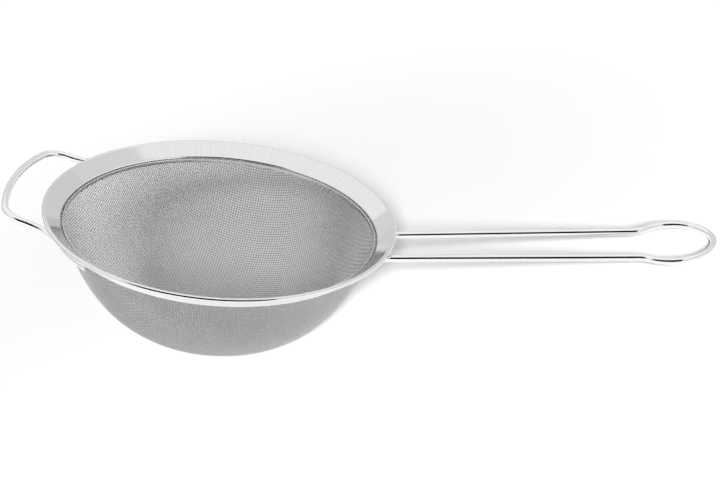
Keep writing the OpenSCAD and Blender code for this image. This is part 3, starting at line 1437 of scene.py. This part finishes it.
@dataclass
class Viewpoint:
    """The camera, given in the rim's frame in millimetres.

    Attributes:
        azimuth: Degrees round from straight in front, towards the handle.
        elevation: Degrees above the rim's plane.
        roll: Degrees that the camera leans.
        distance: Distance from the aim.
        aim: The point in the middle of the picture.
        focal_px: Focal length in picture widths of one pixel.
        picture_w: Width of the picture in pixels.
    """

    azimuth: float = 2.69
    elevation: float = 26.99
    roll: float = 7.16
    distance: float = 843.4
    aim: tuple[float, float, float] = (80.55, -10.99, 0.0)
    focal_px: float = 1509.9
    picture_w: float = 720.0
    sensor_mm: float = 36.0

    def axes(self) -> Array:
        """The camera's right, up and back directions, one in each row."""
        az, el, roll = (math.radians(a) for a in (self.azimuth, self.elevation, self.roll))
        back = np.array([
            math.sin(az) * math.cos(el), -math.cos(az) * math.cos(el), math.sin(el)
        ])
        level = unit(np.cross([0.0, 0.0, 1.0], back))
        upright = np.cross(back, level)
        right = math.cos(roll) * level + math.sin(roll) * upright
        up = -math.sin(roll) * level + math.cos(roll) * upright
        return np.stack([right, up, back])

    def build(self, lean: Lean) -> bpy.types.Object:
        """Places the camera.

        Args:
            lean: The sieve's lean.

        Returns:
            The camera.
        """
        axes = self.axes()
        place = lean.lay(np.array(self.aim) + self.distance * axes[2])
        turned = lean.turn(axes)
        data = bpy.data.cameras.new("photo_camera")
        data.sensor_fit = "HORIZONTAL"
        data.sensor_width = self.sensor_mm
        data.lens = self.focal_px / self.picture_w * self.sensor_mm
        data.clip_start = 0.01
        data.clip_end = 20.0
        camera = bpy.data.objects.new("photo_camera", data)
        matrix = np.eye(4)
        matrix[:3, :3] = turned.T
        matrix[:3, 3] = place
        camera.matrix_world = Matrix(matrix.tolist())
        bpy.context.scene.collection.objects.link(camera)
        bpy.context.scene.camera = camera
        return camera


@dataclass(frozen=True)
class Card:
    """A flat card that only reflections show.

    Attributes:
        name: Its name.
        corners: Its four corners in metres.
        brightness: How bright it looks, where 1 is white.
    """

    name: str
    corners: Array
    brightness: float

    @classmethod
    def standing(
        cls, name: str, start: tuple[float, float], end: tuple[float, float], height: float, brightness: float
    ) -> "Card":
        """A card that stands upright on the table.

        Args:
            name: Its name.
            start: Where its foot starts.
            end: Where its foot ends.
            height: Its height.
            brightness: How bright it looks.

        Returns:
            The card.
        """
        low = [(*start, TABLE_CLEARANCE), (*end, TABLE_CLEARANCE)]
        high = [(*end, height), (*start, height)]
        return cls(name, np.array(low + high), brightness)

    def build(self) -> None:
        """Builds the card, even in tone whatever the lamp does."""
        card = make_object(self.name, self.corners, [np.array([[0, 1, 2, 3]])])
        g = Graph(self.name)
        g.shade(
            Base_Color=(0.0, 0.0, 0.0, 1.0),
            Roughness=1.0,
            Specular_IOR_Level=0.0,
            Emission_Color=(1.0, 1.0, 1.0, 1.0),
            Emission_Strength=self.brightness,
        )
        card.data.materials.append(g.material)
        card.visible_camera = False
        card.visible_diffuse = False
        card.visible_shadow = False
        card.visible_transmission = False


TABLE_CLEARANCE = 0.001


@dataclass
class Studio:
    """A white table and room with one soft lamp, and the cards that the metal reflects.

    The lamp stands on the camera's side, so that the shadow falls behind the sieve and shows
    through the cloth.

    Attributes:
        lamp_azimuth: Degrees from straight in front to the lamp, towards the handle.
        lamp_elevation: Degrees above the table to the lamp.
        lamp_distance: Its distance in metres.
        lamp_size: Its side in metres.
        lamp_power: Its power in watts.
        fill: Brightness of the room as light on dull surfaces.
        wall: Brightness of the room in reflections.
        floor_white: Colour of the table.
        floor_glow: Light that the table shows near and far besides what it reflects.
        glow_reach: Distances from the middle at which the glow starts and stops growing.
        front_across: Where the dark front card starts and ends, right of the camera's aim, in millimetres.
        front_up: Where it starts and ends above the aim.
        front_distance: Its distance from the aim.
        front_tone: Its brightness.
        ceiling_size: Side of the square white ceiling in metres.
        ceiling_height: Its height.
        ceiling_tone: Its brightness.
        side_start: Where the grey side wall starts.
        side_end: Where it ends.
        side_height: Its height.
        side_tone: Its brightness.
        back_x: Where the back wall starts and ends.
        back_y: How far it stands from the middle.
        back_height: Its height.
        back_tone: Its brightness.
    """

    lamp_azimuth: float = 13.0
    lamp_elevation: float = 25.0
    lamp_distance: float = 6.0
    lamp_size: float = 1.2
    lamp_power: float = 777.0
    fill: float = 0.12
    wall: float = 0.8
    floor_white: float = 0.92
    floor_glow: tuple[float, float] = (0.04, 0.42)
    glow_reach: tuple[float, float] = (0.1, 0.9)
    front_across: tuple[float, float] = (-450.0, 255.0)
    front_up: tuple[float, float] = (-230.0, 260.0)
    front_distance: float = 420.0
    front_tone: float = 0.015
    ceiling_size: float = 3.0
    ceiling_height: float = 1.3
    ceiling_tone: float = 1.0
    side_start: tuple[float, float] = (-2.95, -0.52)
    side_end: tuple[float, float] = (-1.22, 2.74)
    side_height: float = 0.55
    side_tone: float = 0.38
    back_x: tuple[float, float] = (-0.47, 1.8)
    back_y: float = 1.1
    back_height: float = 0.6
    back_tone: float = 0.74

    def room(self) -> None:
        """White for the camera and in reflections, softer as light on the object."""
        world = bpy.data.worlds.new("white_room")
        bpy.context.scene.world = world
        world.use_nodes = True
        tree = world.node_tree
        tree.nodes.clear()
        path = tree.nodes.new("ShaderNodeLightPath")
        strength = None
        shares = {"Is Camera Ray": 1.0, "Is Transmission Ray": 1.0, "Is Glossy Ray": self.wall}
        for ray, share in shares.items():
            level = tree.nodes.new("ShaderNodeMath")
            level.operation = "MULTIPLY"
            level.inputs[1].default_value = share
            tree.links.new(path.outputs[ray], level.inputs[0])
            most = tree.nodes.new("ShaderNodeMath")
            most.operation = "MAXIMUM"
            most.inputs[1].default_value = self.fill
            tree.links.new(level.outputs["Value"], most.inputs[0])
            if strength is not None:
                tree.links.new(strength.outputs["Value"], most.inputs[1])
            strength = most
        background = tree.nodes.new("ShaderNodeBackground")
        background.inputs["Color"].default_value = (1.0, 1.0, 1.0, 1.0)
        tree.links.new(strength.outputs["Value"], background.inputs["Strength"])
        output = tree.nodes.new("ShaderNodeOutputWorld")
        tree.links.new(background.outputs["Background"], output.inputs["Surface"])

    def lamp(self) -> None:
        """The soft lamp, turned to the middle of the table."""
        data = bpy.data.lights.new("soft_lamp", "AREA")
        data.shape = "SQUARE"
        data.size = self.lamp_size
        data.energy = self.lamp_power
        lamp = bpy.data.objects.new("soft_lamp", data)
        azimuth, elevation = math.radians(self.lamp_azimuth), math.radians(self.lamp_elevation)
        way = Vector((
            math.sin(azimuth) * math.cos(elevation),
            -math.cos(azimuth) * math.cos(elevation),
            math.sin(elevation),
        ))
        lamp.location = self.lamp_distance * way
        lamp.rotation_euler = way.to_track_quat("Z", "Y").to_euler()
        lamp.visible_glossy = False
        bpy.context.scene.collection.objects.link(lamp)

    def floor(self) -> None:
        """The plain white table top, which keeps the sieve's shadow."""
        half = 6.0
        points = np.array([[-half, -half, 0], [half, -half, 0], [half, half, 0], [-half, half, 0]])
        floor = make_object("table_top", points, [np.array([[0, 1, 2, 3]])])
        g = Graph("white_table")
        white = (self.floor_white, self.floor_white, self.floor_white, 1.0)
        path = g.node("ShaderNodeLightPath")
        straight = g.node(
            "ShaderNodeMath",
            {0: path.outputs["Is Camera Ray"], 1: path.outputs["Is Glossy Ray"]},
            operation="MAXIMUM",
        ).outputs["Value"]
        seen = g.node(
            "ShaderNodeMath", {0: straight, 1: path.outputs["Is Transmission Ray"]}, operation="MAXIMUM"
        ).outputs["Value"]
        place = g.node("ShaderNodeTexCoord").outputs["Object"]
        distance = g.node("ShaderNodeVectorMath", {0: place}, operation="LENGTH").outputs["Value"]
        growth = g.node("ShaderNodeMapRange", {
            "Value": distance,
            "From Min": self.glow_reach[0],
            "From Max": self.glow_reach[1],
            "To Min": self.floor_glow[0],
            "To Max": self.floor_glow[1],
        }, interpolation_type="SMOOTHSTEP").outputs["Result"]
        glow = g.node("ShaderNodeMath", {0: seen, 1: growth}, operation="MULTIPLY")
        g.shade(
            Base_Color=white,
            Roughness=1.0,
            Specular_IOR_Level=0.0,
            Emission_Color=(1.0, 1.0, 1.0, 1.0),
            Emission_Strength=glow.outputs["Value"],
        )
        floor.data.materials.append(g.material)

    def cards(self, view: Viewpoint, lean: Lean) -> list[Card]:
        """The cards round the object.

        The dark one stands between the object and the camera, and gives the rods, the eye
        and the far bend of the rim their dark lines.

        Args:
            view: The viewpoint that the dark card stands in front of.
            lean: The sieve's lean.

        Returns:
            The cards.
        """
        right, up, back = view.axes()
        middle = np.array(view.aim) + self.front_distance * back
        low, high = (middle + height * up for height in self.front_up)
        near, far = (reach * right for reach in self.front_across)
        front = lean.lay(np.array([low + near, low + far, high + far, high + near]))
        half, top = self.ceiling_size / 2, self.ceiling_height
        ceiling = np.array([
            [-half, half, top], [half, half, top], [half, -half, top], [-half, -half, top]
        ])
        side = [self.side_start, self.side_end]
        behind = [(x, self.back_y) for x in self.back_x[::-1]]
        return [
            Card("dark_front_card", front, self.front_tone),
            Card("white_ceiling_card", ceiling, self.ceiling_tone),
            Card.standing("grey_side_wall", *side, self.side_height, self.side_tone),
            Card.standing("pale_back_wall", *behind, self.back_height, self.back_tone),
        ]

    def build(self, view: Viewpoint, lean: Lean) -> None:
        """Builds the studio.

        Args:
            view: The viewpoint.
            lean: The sieve's lean.
        """
        bpy.context.scene.view_settings.view_transform = "Standard"
        self.room()
        self.lamp()
        self.floor()
        for card in self.cards(view, lean):
            card.build()


def main() -> None:
    logging.basicConfig(level=logging.INFO, format="%(message)s")
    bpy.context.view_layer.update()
    rim = Rim()
    cloth = Cloth(rim)
    handle = Handle(rim)
    lean = Lean.onto_table(cloth.outer_line(36), handle.tip(), handle.wire_d / 2)
    view = Viewpoint()
    view.build(lean)
    rim.build(lean)
    ClampRing(rim.mouth_d / 2 - cloth.thickness, rim.collar_z).build(lean)
    cloth.build(lean)
    handle.build(lean)
    FrontLoop(rim).build(lean)
    Welds().dress()
    Studio().build(view, lean)


if __name__ == "__main__":
    main()
